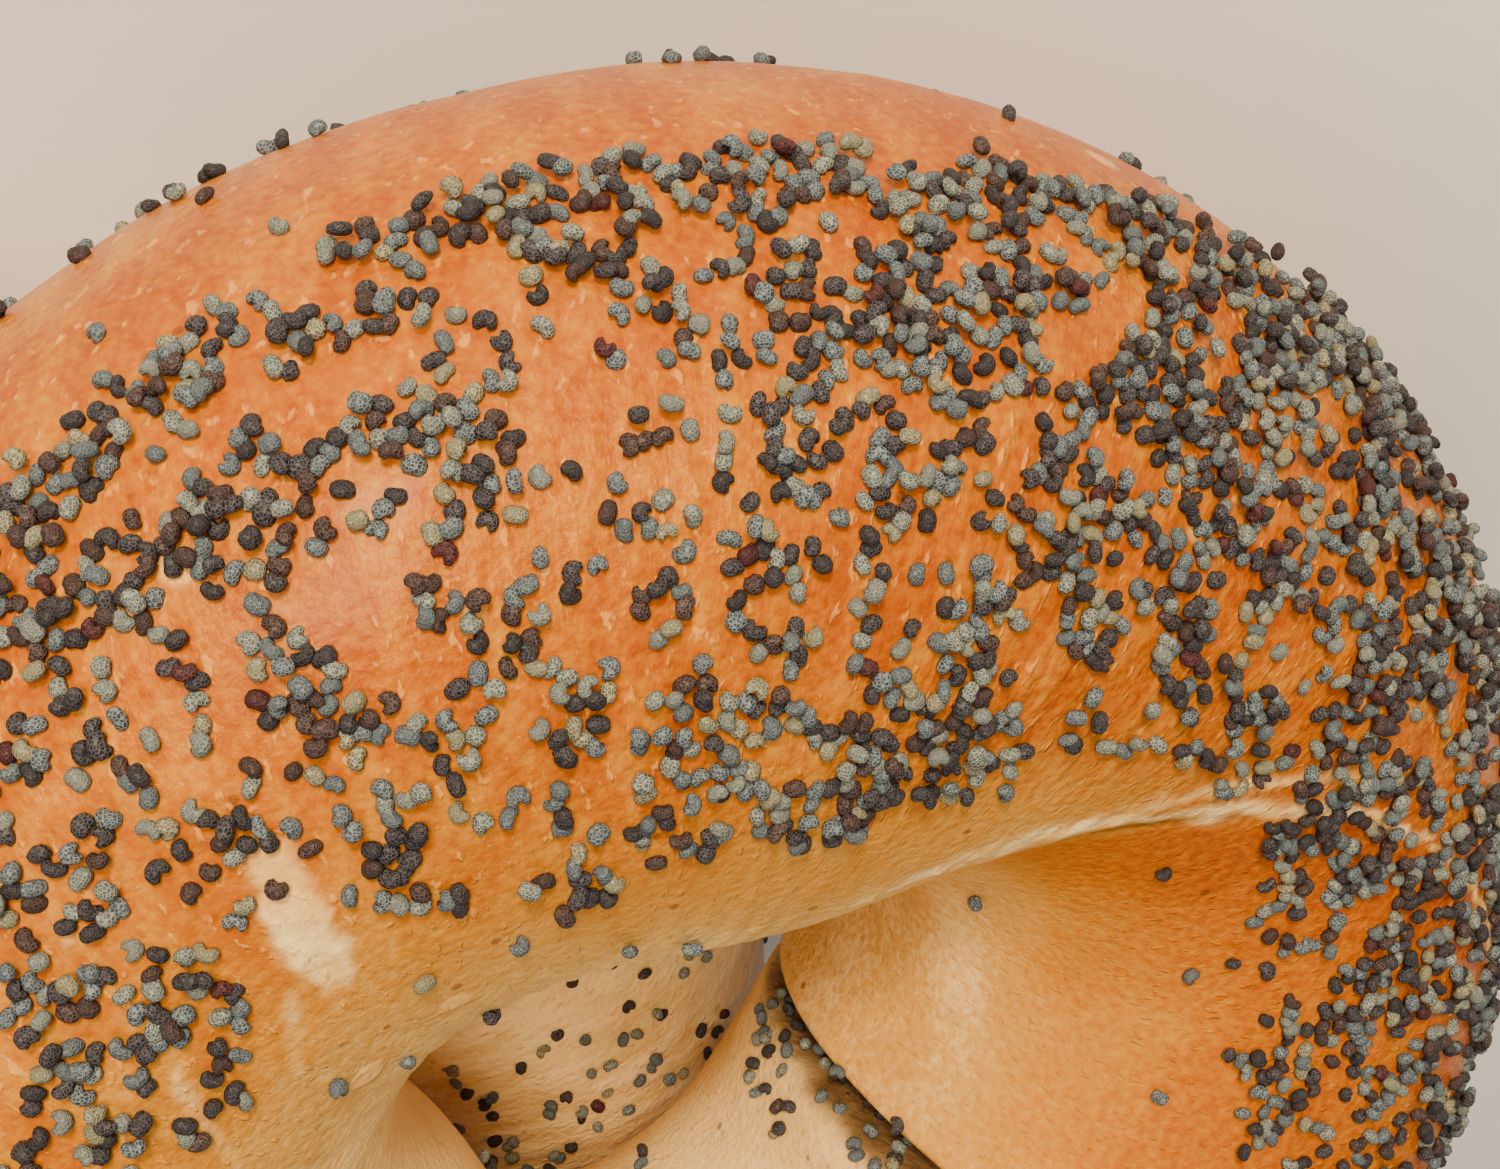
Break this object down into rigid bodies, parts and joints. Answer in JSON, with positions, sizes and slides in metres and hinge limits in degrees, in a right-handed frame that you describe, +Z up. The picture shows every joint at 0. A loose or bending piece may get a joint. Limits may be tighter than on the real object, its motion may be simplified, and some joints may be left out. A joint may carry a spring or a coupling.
{
  "type": "poppy seed bagels",
  "caption": "Pair of golden ring-shaped bagels with poppy seeds, one leaning on the other, each a lapped rope of dough with a slanting seam.",
  "frame": {"origin": "middle of the pair's footprint, on the surface they stand on", "axes": "+Z up, +X from the leaning bagel's low side towards the bagel that lies flat"},
  "size_m": [0.1598, 0.1064, 0.081],
  "materials": {
    "golden_crust": "glossy baked crust, golden orange on the crown and paler towards the hole",
    "pale_crust": "glossy baked crust, paler golden with cream dough inside the hole",
    "poppy_seed": "matte seed coat with a fine net of ridges, slate blue to brown black"
  },
  "bodies": {
    "root": {"lower_bagel": "pale_crust", "upper_bagel": "golden_crust", "lower_seed_01": "poppy_seed", "lower_seed_02": "poppy_seed", "lower_seed_03": "poppy_seed", "lower_seed_04": "poppy_seed", "lower_seed_05": "poppy_seed", "lower_seed_06": "poppy_seed", "lower_seed_07": "poppy_seed", "lower_seed_08": "poppy_seed", "lower_seed_09": "poppy_seed", "lower_seed_10": "poppy_seed", "lower_seed_11": "poppy_seed", "lower_seed_12": "poppy_seed", "lower_seed_13": "poppy_seed", "lower_seed_14": "poppy_seed", "lower_seed_15": "poppy_seed", "lower_seed_16": "poppy_seed", "lower_seed_17": "poppy_seed", "lower_seed_18": "poppy_seed", "lower_seed_19": "poppy_seed", "lower_seed_20": "poppy_seed", "lower_seed_21": "poppy_seed", "lower_seed_22": "poppy_seed", "lower_seed_23": "poppy_seed", "lower_seed_24": "poppy_seed", "lower_seed_25": "poppy_seed", "lower_seed_26": "poppy_seed", "upper_seed_01": "poppy_seed", "upper_seed_02": "poppy_seed", "upper_seed_03": "poppy_seed", "upper_seed_04": "poppy_seed", "upper_seed_05": "poppy_seed", "upper_seed_06": "poppy_seed", "upper_seed_07": "poppy_seed", "upper_seed_08": "poppy_seed", "upper_seed_09": "poppy_seed", "upper_seed_10": "poppy_seed", "upper_seed_11": "poppy_seed", "upper_seed_12": "poppy_seed", "upper_seed_13": "poppy_seed", "upper_seed_14": "poppy_seed", "upper_seed_15": "poppy_seed", "upper_seed_16": "poppy_seed", "upper_seed_17": "poppy_seed", "upper_seed_18": "poppy_seed", "upper_seed_19": "poppy_seed", "upper_seed_20": "poppy_seed", "upper_seed_21": "poppy_seed", "upper_seed_22": "poppy_seed", "upper_seed_23": "poppy_seed", "upper_seed_24": "poppy_seed", "upper_seed_25": "poppy_seed", "upper_seed_26": "poppy_seed"}
  },
  "joints": []
}
